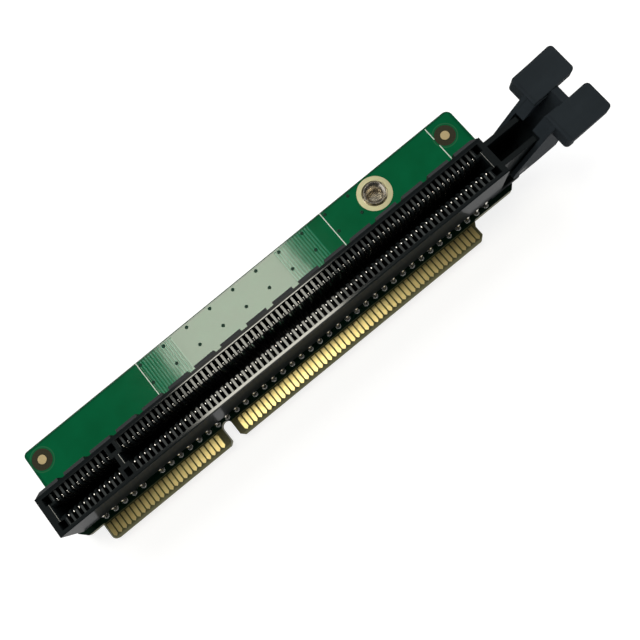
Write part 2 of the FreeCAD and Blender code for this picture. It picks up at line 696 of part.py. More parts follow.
def contact_section(row):
    """Side outline of a bent contact strip, from its lead-in tip down the slot side and back up."""
    tail_in = f"{row}_tail - strip_thickness / 2"
    tail_out = f"{row}_tail + strip_thickness / 2"
    tip = ("lead_offset", "housing_height - lead_drop")
    touch_height = "housing_height - touch_drop"
    touch = ("touch_offset", touch_height)
    touch_back = ("touch_offset + strip_thickness", touch_height)
    beam_out = "cavity_reach - beam_gap"
    if row == "inner":
        return [tip, touch, (tail_in, "tail_bend"), (tail_in, "-tail_reach"),
                (tail_out, "-tail_reach"), (tail_out, "tail_bend"), touch_back]
    return [tip, touch,
            (f"{beam_out} - strip_thickness", "beam_turn"),
            (tail_in, "tail_bend"), (tail_in, "-tail_reach"),
            (tail_out, "-tail_reach"), (tail_out, "tail_bend"),
            (beam_out, "beam_turn"),
            touch_back]


def make_contact(row):
    """One stamped spring contact of a row, standing at x = 0."""
    contact = extruded(f"{row}_contact", "YZ", contact_section(row), "contact_width / 2")
    doc.recompute()
    return contact


def make_contacts():
    nodes = []
    for row in ("outer", "inner"):
        one = make_contact(row).Shape
        for side, own_row, section, places in tail_rows():
            if own_row != row:
                continue
            shape = one.copy()
            if side == "near":
                shape = shape.mirror(FreeCAD.Vector(), FreeCAD.Vector(0, 1, 0))
            pieces = []
            for place in places:
                piece = shape.copy()
                piece.translate(FreeCAD.Vector(place, 0, 0))
                pieces.append(piece)
            name = f"{side}_{row}_contacts_{section}"
            node = doc.addObject("Part::Feature", name)
            node.Shape = Part.makeCompound(pieces)
            node.Label = name
            nodes.append(node)
    return nodes


# ---------------------------------------------------------------- gold fingers

def make_fingers():
    half = "finger_width / 2"
    blank = extruded("finger", "XY", [
        (f"-{half}", "-finger_top"),
        (f"-{half}", "-(finger_tip - finger_point)"),
        ("0", "-finger_tip"),
        (half, "-(finger_tip - finger_point)"),
        (half, "-finger_top"),
    ], "0", "finger_thickness")
    doc.recompute()
    pitch = size("pin_pitch")
    back = -size("board_thickness") - size("finger_thickness")
    sections = (("short", size("first_finger"), int(size("short_fingers"))),
                ("long", size("first_long_finger"), int(size("long_fingers"))))
    nodes = []
    for face, height in (("front", 0.0), ("back", back)):
        for section, first, count in sections:
            pieces = []
            for step in range(count):
                piece = blank.Shape.copy()
                piece.translate(FreeCAD.Vector(first + step * pitch, 0, height))
                pieces.append(piece)
            name = f"{face}_{section}_fingers"
            node = doc.addObject("Part::Feature", name)
            node.Shape = Part.makeCompound(pieces)
            node.Label = name
            nodes.append(node)
    return nodes


# ---------------------------------------------------------------- fixing, marks

def turned(name, across, along, section):
    """Body turned about an upright axis through (across, along); the section is (radius, height)."""
    body = new_body(name)
    sketch = body_sketch(body, f"{name}_section", "XZ")
    draw_outline(sketch, section)
    turn = body.newObject("PartDesign::Revolution", f"{name}_turn")
    turn.Profile = sketch
    turn.ReferenceAxis = (sketch, ["V_Axis"])
    turn.Angle = 360
    body.setExpression("Placement.Base.x", cell(f"{across} - fixing_x"))
    body.setExpression("Placement.Base.y", cell(f"{along} - fixing_y"))
    doc.recompute()
    return body


def make_turned_parts():
    back = "-board_thickness"
    pad_radius = f"{FIXING_HOLE} + pad_ring"
    pad_spool = turned("fixing_pad", "fixing_x", "fixing_y", [
        (FIXING_HOLE, "plating"),
        (FIXING_HOLE, f"{back} - plating"),
        (pad_radius, f"{back} - plating"),
        (pad_radius, back),
        (f"{FIXING_HOLE} + plating", back),
        (f"{FIXING_HOLE} + plating", "0"),
        (pad_radius, "0"),
        (pad_radius, "plating"),
    ])
    seat = f"{back} - plating"
    bush = turned("threaded_bush", "fixing_x", "fixing_y", [
        ("0", "-thread_bottom"),
        ("0", "-tail_reach"),
        (f"{BARREL} + flange_ring", "-tail_reach"),
        (f"{BARREL} + flange_ring", seat),
        (BARREL, seat),
        (BARREL, "barrel_rise"),
        ("thread_radius + countersink", "barrel_rise"),
        ("thread_radius", "barrel_rise - countersink"),
        ("thread_radius", "-thread_bottom"),
    ])
    marks = []
    for name, across, along in (("left_fiducial", "-left_mark_x", "left_mark_y"),
                                ("right_fiducial", "right_mark_x", "right_mark_y")):
        marks.append(turned(name, across, along, rectangle("0", "fiducial_radius", "0", "plating")))
    return [pad_spool, bush] + marks


# ---------------------------------------------------------------- build, place, check, write

def place_at_fixing(node):
    """Move a sub-part from the connector's axes to the fixing thread's."""
    node.setExpression("Placement.Base.x", cell("-fixing_x"))
    node.setExpression("Placement.Base.y", cell("-fixing_y"))


flat_parts = [make_board(), make_housing(), make_latch()] + make_contacts() + make_fingers()
for node in flat_parts:
    place_at_fixing(node)
sub_parts = flat_parts + make_turned_parts()
doc.recompute()

for item in doc.Objects:
    assert not {"Invalid", "Error"} & set(item.State), (item.Name, item.State)
os.makedirs("parts", exist_ok=True)
for node in sub_parts:
    assert not node.Shape.isNull() and node.Shape.isValid(), node.Label
    node.Shape.exportStep(f"parts/{node.Label}.step")
    print(node.Label, len(node.Shape.Solids), round(node.Shape.Volume, 3))
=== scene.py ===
"""Riser card: finishes, contacts, solder, vias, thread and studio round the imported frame."""

import json
import math

import bmesh
import bpy
from mathutils import Euler, Matrix, Vector


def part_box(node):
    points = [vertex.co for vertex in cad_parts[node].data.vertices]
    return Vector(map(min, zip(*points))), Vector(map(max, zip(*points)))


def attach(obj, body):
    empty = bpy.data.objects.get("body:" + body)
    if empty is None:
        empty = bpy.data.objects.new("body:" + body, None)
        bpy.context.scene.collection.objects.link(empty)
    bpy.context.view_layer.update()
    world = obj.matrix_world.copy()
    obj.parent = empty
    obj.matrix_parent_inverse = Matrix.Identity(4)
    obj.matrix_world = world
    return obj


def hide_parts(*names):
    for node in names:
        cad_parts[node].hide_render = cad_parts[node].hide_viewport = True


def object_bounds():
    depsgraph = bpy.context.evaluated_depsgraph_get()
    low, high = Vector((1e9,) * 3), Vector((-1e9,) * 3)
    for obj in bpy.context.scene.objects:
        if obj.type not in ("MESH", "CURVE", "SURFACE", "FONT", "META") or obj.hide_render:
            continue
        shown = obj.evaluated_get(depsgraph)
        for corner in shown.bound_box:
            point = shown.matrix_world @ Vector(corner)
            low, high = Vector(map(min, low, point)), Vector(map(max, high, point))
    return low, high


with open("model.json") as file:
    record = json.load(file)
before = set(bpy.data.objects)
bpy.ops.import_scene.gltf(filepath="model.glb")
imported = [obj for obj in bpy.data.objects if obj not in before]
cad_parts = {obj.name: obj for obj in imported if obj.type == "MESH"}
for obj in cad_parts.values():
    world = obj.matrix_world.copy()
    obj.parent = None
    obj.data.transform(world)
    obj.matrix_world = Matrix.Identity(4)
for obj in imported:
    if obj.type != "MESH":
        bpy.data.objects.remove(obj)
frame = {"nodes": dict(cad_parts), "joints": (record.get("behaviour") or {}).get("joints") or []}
CAD_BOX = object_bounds()

BOARD_BODY = "riser"
LATCH_BODY = "latch"
SIDES = ((1, "far"), (-1, "near"))
ROWS = ("outer", "inner")

# ------------------------------------------------------------------ sizes, in millimetres

MM = 0.001


def box_mm(node):
    """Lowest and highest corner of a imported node, in millimetres."""
    low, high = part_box(node)
    return Vector(low) / MM, Vector(high) / MM


BOARD_LOW, BOARD_HIGH = box_mm("circuit_board")
FACE = BOARD_HIGH.z                     # component face
BACK = BOARD_LOW.z                      # solder face
HOUSING_TOP = box_mm("slot_housing")[1].z
FIDUCIAL_BOXES = (box_mm("left_fiducial"), box_mm("right_fiducial"))

# Pins, along X. The first strips are the odd pins of the short part.
PITCH = 1.0
SHORT_PINS = 11
ALL_PINS = 82
KEY_SPAN = 3.0                          # pitches from the last short pin to the next
FIRST_LOW, FIRST_HIGH = box_mm("far_outer_contacts_short")
PIN_ONE = FIRST_LOW.x + (FIRST_HIGH.x - FIRST_LOW.x - (SHORT_PINS - 1) * PITCH) / 2
SLOT_ENDS = (PIN_ONE - 1.2, PIN_ONE + 84.2)
END_WALL = 0.65
KEY_BLOCK = (PIN_ONE + 10.45, PIN_ONE + 12.55)

# Across the slot, from its centre.
NEAR_LOW = box_mm("near_outer_contacts_long")[0]
FAR_LOW, FAR_HIGH = box_mm("far_outer_contacts_long")
SLOT_CENTRE = (NEAR_LOW.y + FAR_HIGH.y) / 2
PACKED_STRIP = 0.24                     # thickness of a packed contact strip
OUTER_TAIL = (FAR_HIGH.y - NEAR_LOW.y) / 2 - PACKED_STRIP / 2
INNER_TAIL = 1.75
POLISHED_BAND = (-3.35, 3.10)
# across the ribs, whose tops get a painted highlight
RIBS = (1.60, 2.95)
EAR_REACH = 3.5                         # the latch's ears and the foot under them

# Combs under the cavities: reach across, heights over the board, and the notches for tails.
COMB_REACH = (0.8, 2.95)
COMB_HEIGHTS = (2.25, 2.6)
NOTCH_REACH = 0.27
NOTCH_DEPTH = 0.7

# Contact strips, which narrow above the beam.
BEAM_WIDTH = 0.44
BEAM_THICKNESS = 0.22
TAIL_END = FAR_LOW.z + 0.05             # height of the tails' lower ends

# Green mask, its openings and what is printed on it.
MASK_START = box_mm("front_short_fingers")[1].y + 0.3
HOUSING_SHADOW_REACH = 2.9                       # painted shadow of the housing on the mask nearer the fingers, from the slot's centre
HOUSING_SHADOW_FADE = 0.8
TRACK_PITCH = 0.55
TRACK_FADE = 0.3
TRACK_BUNDLES = ((PIN_ONE + 20.6, PIN_ONE + 27.6), (PIN_ONE + 50.5, PIN_ONE + 58.0))
END_MARGIN = (0.45, 0.6)                # copper fades out between these, from the board's ends
FAR_MARGIN = (0.4, 0.55)                # and from its far edge
# painted shade: a dark, rougher line along the far edge, in from the edge
FAR_EDGE_SHADE = (0.10, 0.20)
WEAVE = 9.0                             # radians a millimetre along the laminate's cloth
LAYERS = 22.0                           # and through its layers
FIDUCIAL_OPENING = 1.87
FIDUCIAL_HALO = (2.05, 2.25)
LINE_WIDTH = 0.16
INK_THICKNESS = 0.02
# place from pin one, then near and far end from the slot's centre
PRINTED_LINES = ((20.2, 5.6, 13.7), (60.9, 5.6, 13.7), (84.2, 6.2, 9.6), (84.2, 11.0, 13.45))
VIA_COLUMNS = 10
FIRST_VIA = PIN_ONE + 20.7
VIA_PITCH = 5.1
VIA_ROWS = (12.93, 9.10)


def pin_x(number):
    """Where a pin stands along the slot."""
    steps = number - 1 if number <= SHORT_PINS else number - 2 + KEY_SPAN
    return PIN_ONE + steps * PITCH


def tail_places(side, row, height=FACE):
    """Every tail of one row: side is 1 for the far side and -1 for the near side."""
    odd_or_even = 1 if (row == "outer") == (side > 0) else 0
    reach = OUTER_TAIL if row == "outer" else INNER_TAIL
    return [Vector((pin_x(number), SLOT_CENTRE + side * reach, height))
            for number in range(1, ALL_PINS + 1) if number % 2 == odd_or_even]


# ------------------------------------------------------------------ node trees


def feed(tree, socket, value):
    """Link a value to a socket, or set a plain number, vector or colour on it."""
    if isinstance(value, Value):
        value = value.socket
    if isinstance(value, bpy.types.NodeSocket):
        tree.links.new(value, socket)
    elif socket.type == "RGBA":
        socket.default_value = (*value, 1)
    else:
        socket.default_value = value


def add_node(tree, kind, settings=None, **values):
    """Any node: its settings first, then the values or links of its sockets by identifier."""
    made = tree.nodes.new(kind)
    for name, setting in (settings or {}).items():
        if name == "stops":
            for element, (position, colour) in zip(made.color_ramp.elements, setting):
                element.position = position
                element.color = (*colour, 1)
        else:
            setattr(made, name, setting)
    sockets = {socket.identifier.replace(" ", "_"): socket for socket in made.inputs}
    for name, value in values.items():
        feed(tree, sockets[name], value)
    return made


def split(tree, vector):
    """The three parts of a vector, as values."""
    parts = add_node(tree, "ShaderNodeSeparateXYZ", Vector=vector)
    return [Value(tree, output) for output in parts.outputs]


class Value:
    """One socket of a node tree; arithmetic on it adds the Math nodes."""

    def __init__(self, tree, socket):
        self.tree = tree
        self.socket = socket

    def _math(self, operation, *operands):
        fed = dict(zip(("Value", "Value_001"), operands))
        made = add_node(self.tree, "ShaderNodeMath", {"operation": operation}, **fed)
        return Value(self.tree, made.outputs[0])

    def __add__(self, other):
        return self._math("ADD", self, other)

    def __sub__(self, other):
        return self._math("SUBTRACT", self, other)

    def __rsub__(self, other):
        return self._math("SUBTRACT", other, self)

    def __mul__(self, other):
        return self._math("MULTIPLY", self, other)

    def __abs__(self):
        return self._math("ABSOLUTE", self)

    def __pow__(self, power):
        return self._math("POWER", self, power)

    __radd__ = __add__
    __rmul__ = __mul__

    def at_least(self, other):
        return self._math("MAXIMUM", self, other)

    def wave(self):
        return self._math("SINE", self)

    def step(self, low, high):
        """0 at and below low, 1 at and above high, smooth between."""
        made = add_node(self.tree, "ShaderNodeMapRange", {"interpolation_type": "SMOOTHSTEP"},
                        Value=self, From_Min=low, From_Max=high)
        return Value(self.tree, made.outputs[0])

    def between(self, low, high, soft=0.05):
        """1 between low and high, 0 outside, with soft edges."""
        return self.step(low - soft, low + soft) * (1 - self.step(high - soft, high + soft))


class Finish:
    """A material whose nodes are written as expressions; its lengths are in millimetres."""

    def __init__(self, name):
        self.material = bpy.data.materials.new(name)
        self.material.use_nodes = True
        self.tree = self.material.node_tree
        self.shader = self.tree.nodes["Principled BSDF"]
        spot = self.node("ShaderNodeTexCoord").outputs["Object"]
        scaled = self.node("ShaderNodeVectorMath", {"operation": "SCALE"}, Vector=spot, Scale=1 / MM)
        self.place = scaled.outputs[0]
        self.x, self.y, self.z = split(self.tree, self.place)

    def node(self, kind, settings=None, **values):
        return add_node(self.tree, kind, settings, **values)

    def noise(self, scale, detail, stretch=(1, 1, 1)):
        """Noise whose features are about 1/scale millimetres across."""
        stretched = self.node("ShaderNodeVectorMath", {"operation": "MULTIPLY"},
                              Vector=self.place, Vector_001=stretch).outputs[0]
        made = self.node("ShaderNodeTexNoise", Vector=stretched, Scale=scale, Detail=detail)
        return Value(self.tree, made.outputs[0])

    def mix(self, factor, first, second):
        """First colour where factor is 0, second where it is 1."""
        made = self.node("ShaderNodeMix", {"data_type": "RGBA"},
                         Factor_Float=factor, A_Color=first, B_Color=second)
        return next(output for output in made.outputs if output.identifier == "Result_Color")

    def bump(self, height, depth, **normal):
        """Normal of a height that runs from 0 to depth millimetres, on top of another if given."""
        made = self.node("ShaderNodeBump", Strength=1.0, Distance=depth * MM, Height=height, **normal)
        return made.outputs[0]

    def set(self, **values):
        """Fixed values or links of the surface shader's sockets."""
        for name, value in values.items():
            feed(self.tree, self.shader.inputs[name.replace("_", " ")], value)
        return self

    def upright(self):
        """1 on faces that lie flat, 0 on walls."""
        facing = self.node("ShaderNodeNewGeometry").outputs["True Normal"]
        return abs(split(self.tree, facing)[2]).step(0.93, 0.99)

    def distance(self, centre_x, centre_y):
        """Distance from an upright axis."""
        across = self.x - centre_x
        along = self.y - centre_y
        return (across * across + along * along) ** 0.5


def shade(colour, share):
    """The same hue, darker or lighter."""
    return tuple(channel * share for channel in colour)


# ------------------------------------------------------------------ materials


def board_green(paint, tracks, rim, lip, front):
    """Colour of the mask: cloudy green, paler over tracks, darker where no copper lies under it, with
    painted shade as a dark line along the far edge and a painted shadow of the housing on the strip
    nearer the fingers.
    """
    stops = ((0.3, (0.0004, 0.094, 0.032)), (0.7, (0.0007, 0.110, 0.039)))
    green = paint.node("ShaderNodeValToRGB", {"stops": stops}, Fac=paint.noise(0.25, 2.0)).outputs[0]
    green = paint.mix(tracks * 0.8, green, (0.030, 0.230, 0.125))
    green = paint.mix((1 - rim) * 0.5, green, (0.0010, 0.045, 0.020))
    # painted shade along the far edge
    green = paint.mix(lip * 0.8, green, (0.0004, 0.020, 0.010))
    # painted shadow of the housing: the front mask between the housing and the fingers is made nearly
    # black
    shadow_edge = SLOT_CENTRE - HOUSING_SHADOW_REACH
    clear = front * (1 - paint.y.step(shadow_edge, shadow_edge + HOUSING_SHADOW_FADE))
    return paint.mix(clear * 0.92, green, (0.0025, 0.0060, 0.0035))


def board_finish():
    """Glossy green mask over copper, bare laminate round the fingers and fiducials, cut edges."""
    paint = Finish("green_solder_mask")
    x, y, z = paint.x, paint.y, paint.z
    # 1 on the component face, 0 on the solder face
    front = z.step(BACK + 0.4, FACE - 0.4)

    # bundles of tracks that run from the fingers, under the housing, to the far edge
    left_bundle, right_bundle = (x.between(low, high, TRACK_FADE) for low, high in TRACK_BUNDLES)
    track = ((x * (2 * math.pi / TRACK_PITCH)).wave() * 0.5 + 0.5).step(0.35, 0.65)
    tracks = track * left_bundle.at_least(right_bundle)
    # 1 where copper may lie, 0 in the gap along the board's edge
    rim = (x.step(BOARD_LOW.x + END_MARGIN[0], BOARD_LOW.x + END_MARGIN[1])
           * (1 - x.step(BOARD_HIGH.x - END_MARGIN[1], BOARD_HIGH.x - END_MARGIN[0]))
           * (1 - y.step(BOARD_HIGH.y - FAR_MARGIN[1], BOARD_HIGH.y - FAR_MARGIN[0])))
    lip = y.step(BOARD_HIGH.y - FAR_EDGE_SHADE[1], BOARD_HIGH.y - FAR_EDGE_SHADE[0])
    green = board_green(paint, tracks, rim, lip, front)

    weave = ((x * WEAVE).wave() * (y * WEAVE).wave()) * 0.5 + 0.5
    laminate = paint.mix(weave * 0.4, (0.075, 0.072, 0.018), (0.12, 0.105, 0.03))
    bare = 1 - y.step(MASK_START - 0.08, MASK_START + 0.08)
    surface = paint.mix(bare, green, laminate)

    # round openings in the front mask, each with a faint halo
    dark_laminate = paint.mix(weave * 0.3, (0.036, 0.034, 0.021), (0.052, 0.050, 0.031))
    for low, high in FIDUCIAL_BOXES:
        reach = paint.distance((low.x + high.x) / 2, (low.y + high.y) / 2)
        halo = reach.between(*FIDUCIAL_HALO, 0.06)
        surface = paint.mix(halo * front * 0.18, surface, (0.10, 0.20, 0.11))
        opening = 1 - reach.step(FIDUCIAL_OPENING - 0.07, FIDUCIAL_OPENING + 0.07)
        surface = paint.mix(opening * front, surface, dark_laminate)

    # the cut edge shows the laminate's layers
    flat = paint.upright()
    layers = ((z * LAYERS).wave() * 0.5 + 0.5) * 0.5
    edge = paint.mix(layers, (0.085, 0.085, 0.022), (0.15, 0.14, 0.045))

    normal = paint.bump(paint.noise(0.35, 2.0), 0.010)
    normal = paint.bump(tracks * rim, 0.018, Normal=normal)
    normal = paint.bump(1 - bare, 0.03, Normal=normal)
    uncoated = 1 - flat * (1 - bare)
    rough = (uncoated * 0.45).at_least(lip * 0.4) + 0.09
    paint.set(Base_Color=paint.mix(flat, edge, surface), Roughness=rough, Normal=normal)
    return paint.material


def moulding(name, colour, roughness, grain_depth, specular):
    """Black glass-filled plastic with a faint flow grain: its finish and the tone to colour it with."""
    paint = Finish(name)
    grain = paint.noise(6.0, 4.0)
    broad = paint.noise(0.5, 2.0, stretch=(0.35, 1, 1))
    tone = paint.mix(broad, shade(colour, 0.8), shade(colour, 1.2))
    rounded = paint.node("ShaderNodeBevel", {"samples": 4}, Radius=0.07 * MM).outputs[0]
    normal = paint.bump(grain, grain_depth, Normal=rounded)
    paint.set(Roughness=grain * 0.10 + (roughness - 0.05), Normal=normal)
    paint.set(IOR=1.58, Specular_IOR_Level=specular)
    return paint, tone


def housing_finish():
    """Housing plastic: matt walls, a polished rim, and a painted highlight that makes the rib tops
    between the cavities paler.
    """
    paint, tone = moulding("housing_plastic", (0.0060, 0.0082, 0.0088), 0.50, 0.003, 0.02)
    near_edge, far_edge = (SLOT_CENTRE + reach for reach in POLISHED_BAND)
    flat = paint.upright()
    top = paint.z.step(HOUSING_TOP - 0.5, HOUSING_TOP - 0.3)
    polish = flat * paint.y.between(near_edge, far_edge) * top
    # painted highlight: rib tops between the cavities are coloured paler, away from the slot's ends and
    # the key
    rib_highlight = (polish * abs(paint.y - SLOT_CENTRE).between(*RIBS)
            * paint.x.between(SLOT_ENDS[0] + END_WALL, SLOT_ENDS[1] - END_WALL)
            * (1 - paint.x.between(*KEY_BLOCK)))
    gloss = polish * 0.95 + (1 - flat) * 0.13 + 0.05
    paint.set(Base_Color=paint.mix(rib_highlight, tone, (0.085, 0.092, 0.092)))
    paint.set(Coat_Weight=gloss, Coat_Roughness=0.11, Coat_IOR=1.68)
    return paint.material


def latch_finish():
    """Latch plastic: an even matt black, a shade lighter than the housing."""
    paint, tone = moulding("latch_plastic", (0.0170, 0.0220, 0.0262), 0.60, 0.006, 0.03)
    return paint.set(Base_Color=tone).material


def gold_finish(name, colour, roughness):
    """Hard gold plating with rolled copper's fine streaks."""
    paint = Finish(name)
    streaks = paint.noise(3.0, 3.0, stretch=(5, 0.6, 1))
    tone = paint.mix(streaks, shade(colour, 0.82), colour)
    paint.set(Base_Color=tone, Metallic=1.0, Roughness=streaks * 0.2 + (roughness - 0.1),
              Normal=paint.bump(streaks, 0.004))
    return paint.material


def metal_finish(name, colour, roughness, grain_scale, grain_depth):
    """Bright metal with a fine grain, for contacts, solder and the bush."""
    paint = Finish(name)
    grain = paint.noise(grain_scale, 3.0)
    tone = paint.mix(grain, shade(colour, 0.8), colour)
    paint.set(Base_Color=tone, Metallic=1.0, Roughness=grain * 0.18 + (roughness - 0.08),
              Normal=paint.bump(grain, grain_depth))
    return paint.material


def ink_finish():
    """Pale legend ink, slightly worn."""
    paint = Finish("legend_ink")
    solid = paint.noise(5.0, 4.0).step(0.35, 0.6)
    paint.set(Base_Color=paint.mix(solid, (0.42, 0.55, 0.45), (0.72, 0.78, 0.70)), Roughness=0.5)
    return paint.material


def via_finish():
    """Mask over a plated hole, darker than the board round it."""
    paint = Finish("via_mask")
    paint.set(Base_Color=(0.0008, 0.03, 0.015), Roughness=0.25, Specular_IOR_Level=0.12)
    return paint.material


MASK = board_finish()
HOUSING_PLASTIC = housing_finish()
LATCH_PLASTIC = latch_finish()
GOLD = gold_finish("finger_gold", (0.80, 0.655, 0.285), 0.33)
PAD_GOLD = gold_finish("pad_gold", (0.50, 0.475, 0.295), 0.38)
MARK_GOLD = gold_finish("fiducial_gold", (0.50, 0.40, 0.22), 0.50)
CONTACT_METAL = metal_finish("contact_metal", (0.80, 0.77, 0.70), 0.17, 5.0, 0.004)
SOLDER = metal_finish("solder", (0.60, 0.60, 0.57), 0.25, 3.0, 0.010)
NICKEL = metal_finish("bush_nickel", (0.66, 0.61, 0.52), 0.22, 4.0, 0.006)
INK = ink_finish()
VIA_MASK = via_finish()

NODE_FINISHES = {
    "circuit_board": MASK,
    "slot_housing": HOUSING_PLASTIC,
    "card_latch": LATCH_PLASTIC,
    "threaded_bush": NICKEL,
    "fixing_pad": PAD_GOLD,
    "left_fiducial": MARK_GOLD,
    "right_fiducial": MARK_GOLD,
}


def node_finish(name):
    """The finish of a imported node: groups of contacts and of fingers go by their names."""
    if "contacts" in name:
        return CONTACT_METAL
    if "fingers" in name:
        return GOLD
    return NODE_FINISHES[name]


for node_name, shown in frame["nodes"].items():
    shown.data.materials.clear()
    shown.data.materials.append(node_finish(node_name))


# ------------------------------------------------------------------ mesh helpers


def mesh_object(name, vertices, faces, material, smooth=False):
    """Mesh object at the origin, from vertices in millimetres."""
    data = bpy.data.meshes.new(name)
    data.from_pydata([tuple(Vector(vertex) * MM) for vertex in vertices], [], faces)
    data.materials.append(material)
    data.polygons.foreach_set("use_smooth", [smooth] * len(data.polygons))
    data.update()
    made = bpy.data.objects.new(name, data)
    bpy.context.scene.collection.objects.link(made)
    return made


def outward(made):
    """Point a mesh's faces outwards."""
    work = bmesh.new()
    work.from_mesh(made.data)
    bmesh.ops.recalc_face_normals(work, faces=work.faces)
    work.to_mesh(made.data)
    work.free()


def lofted_mesh(name, rings, material, smooth=False):
    """Closed body through rings that have the same number of corners, capped at both ends."""
    corners = len(rings[0])
    last = (len(rings) - 1) * corners
    faces = [tuple(range(corners)), tuple(range(last, last + corners))]
    for first in range(0, last, corners):
        for corner in range(corners):
            after = (corner + 1) % corners
            faces.append((first + corner, first + after, first + corners + after,
                          first + corners + corner))
    vertices = [vertex for ring in rings for vertex in ring]
    made = mesh_object(name, vertices, faces, material, smooth)
    outward(made)
    return made


def turned_mesh(name, profile, segments, material, closed=False):
    """Smooth surface of (radius, height) points turned about Z; only the first may lie on the axis."""
    vertices = []
    faces = []
    rings = []
    for radius, height in profile:
        count = segments if radius else 1
        rings.append([len(vertices) + step for step in range(count)])
        for step in range(count):
            angle = 2 * math.pi * step / segments
            vertices.append((radius * math.cos(angle), radius * math.sin(angle), height))
    pairs = list(zip(rings, rings[1:]))
    if closed:
        pairs.append((rings[-1], rings[0]))
    for first, second in pairs:
        for step in range(segments):
            after = (step + 1) % segments
            if len(first) == 1:
                faces.append((first[0], second[step], second[after]))
            else:
                faces.append((first[step], second[step], second[after], first[after]))
    made = mesh_object(name, vertices, faces, material, smooth=True)
    outward(made)
    return made


def row_tree(name):
    """Geometry nodes that stand copies of a unit on every point of a mesh."""
    tree = bpy.data.node_groups.new(name, "GeometryNodeTree")
    tree.interface.new_socket("Places", in_out="INPUT", socket_type="NodeSocketGeometry")
    for label, kind in (("Unit", "NodeSocketObject"), ("Size", "NodeSocketFloat"),
                        ("Finish", "NodeSocketMaterial")):
        tree.interface.new_socket(label, in_out="INPUT", socket_type=kind)
    tree.interface.new_socket("Copies", in_out="OUTPUT", socket_type="NodeSocketGeometry")
    start = tree.nodes.new("NodeGroupInput")
    unit = tree.nodes.new("GeometryNodeObjectInfo")
    stand = tree.nodes.new("GeometryNodeInstanceOnPoints")
    realize = tree.nodes.new("GeometryNodeRealizeInstances")
    finish = tree.nodes.new("GeometryNodeSetMaterial")
    end = tree.nodes.new("NodeGroupOutput")
    links = (
        (start.outputs["Places"], stand.inputs["Points"]),
        (start.outputs["Unit"], unit.inputs["Object"]),
        (unit.outputs["Geometry"], stand.inputs["Instance"]),
        (start.outputs["Size"], stand.inputs["Scale"]),
        (stand.outputs["Instances"], realize.inputs["Geometry"]),
        (realize.outputs["Geometry"], finish.inputs["Geometry"]),
        (start.outputs["Finish"], finish.inputs["Material"]),
        (finish.outputs["Geometry"], end.inputs["Copies"]),
    )
    for source, target in links:
        tree.links.new(source, target)
    return tree


ROW_TREE = row_tree("copies_on_places")


def stand_copies(name, unit, places, material):
    """One mesh that holds a copy of the unit at every place; the unit itself is used up."""
    base = mesh_object(name + "_places", places, [], material)
    modifier = base.modifiers.new("copies", "NODES")
    modifier.node_group = ROW_TREE
    inputs = {item.name: item.identifier for item in ROW_TREE.interface.items_tree
              if item.in_out == "INPUT"}
    modifier[inputs["Unit"]] = unit
    modifier[inputs["Size"]] = 1.0
    modifier[inputs["Finish"]] = material
    bpy.context.view_layer.update()
    evaluated = base.evaluated_get(bpy.context.evaluated_depsgraph_get())
    data = bpy.data.meshes.new_from_object(evaluated)
    data.name = name
    made = bpy.data.objects.new(name, data)
    bpy.context.scene.collection.objects.link(made)
    bpy.data.objects.remove(base)
    bpy.data.objects.remove(unit)
    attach(made, BOARD_BODY)
    return made


# ------------------------------------------------------------------ contacts


def smooth_points(points, per_span):
    """Points along a Catmull-Rom curve through the given ones."""
    ends = [points[0], *points, points[-1]]
    run = []
    for before, start, finish, after in zip(ends, ends[1:], ends[2:], ends[3:]):
        for step in range(per_span):
            t = step / per_span
            run.append(tuple(
                0.5 * (2 * b + (c - a) * t + (2 * a - 5 * b + 4 * c - d) * t * t
                       + (3 * b - a - 3 * c + d) * t * t * t)
                for a, b, c, d in zip(before, start, finish, after)))
    return run + [points[-1]]


def strip_line(row):
    """Middle of a contact strip: (reach from the slot's centre, height, width, thickness)."""
    beam = (BEAM_WIDTH, BEAM_THICKNESS)
    if row == "outer":
        tail = OUTER_TAIL
        knee = [(tail - 0.25, 1.5, *beam), (2.45, 2.5, *beam), (2.1, 3.6, *beam)]
    else:
        tail = INNER_TAIL
        knee = [(tail - 0.05, 1.6, *beam), (1.6, 3.0, *beam)]
    foot = [(tail, TAIL_END, 0.26, 0.14), (tail, TAIL_END + 0.40, *beam), (tail, 0.9, *beam)]
    spring = [(1.05, 6.6, 0.40, 0.20), (0.79, 7.9, 0.36, 0.20), (0.80, 8.7, 0.34, 0.20)]
    lead_in = [(1.12, 9.75, 0.32, 0.20), (1.36, 10.35, 0.32, 0.20), (1.50, 10.55, 0.32, 0.16),
               (1.74, 10.58, 0.30, 0.12)]
    return foot + knee + spring + lead_in


def spring_contact(name, row, side):
    """Bent strip contact: tail, beam, touch point and a coined lead-in tip, at the origin."""
    run = smooth_points(strip_line(row), 2)
    rings = []
    for index, (reach, height, width, thickness) in enumerate(run):
        last = run[max(index - 1, 0)]
        following = run[min(index + 1, len(run) - 1)]
        along = Vector((following[0] - last[0], following[1] - last[1])).normalized()
        normal = Vector((along.y, -along.x)) * thickness / 2
        rings.append([(half * width, side * (reach + face * normal.x), height + face * normal.y)
                      for half, face in ((-0.5, 1), (0.5, 1), (0.5, -1), (-0.5, -1))])
    return lofted_mesh(name, rings, CONTACT_METAL, smooth=True)


def add_contacts():
    """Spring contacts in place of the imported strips, one mesh for each row."""
    for side, label in SIDES:
        for row in ROWS:
            places = [Vector((place.x, SLOT_CENTRE, FACE)) for place in tail_places(side, row)]
            unit = spring_contact(f"{label}_{row}_contact_unit", row, side)
            made = stand_copies(f"{label}_{row}_spring_contacts", unit, places, CONTACT_METAL)
            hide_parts(f"{label}_{row}_contacts_short", f"{label}_{row}_contacts_long")


# ------------------------------------------------------------------ black mouldings


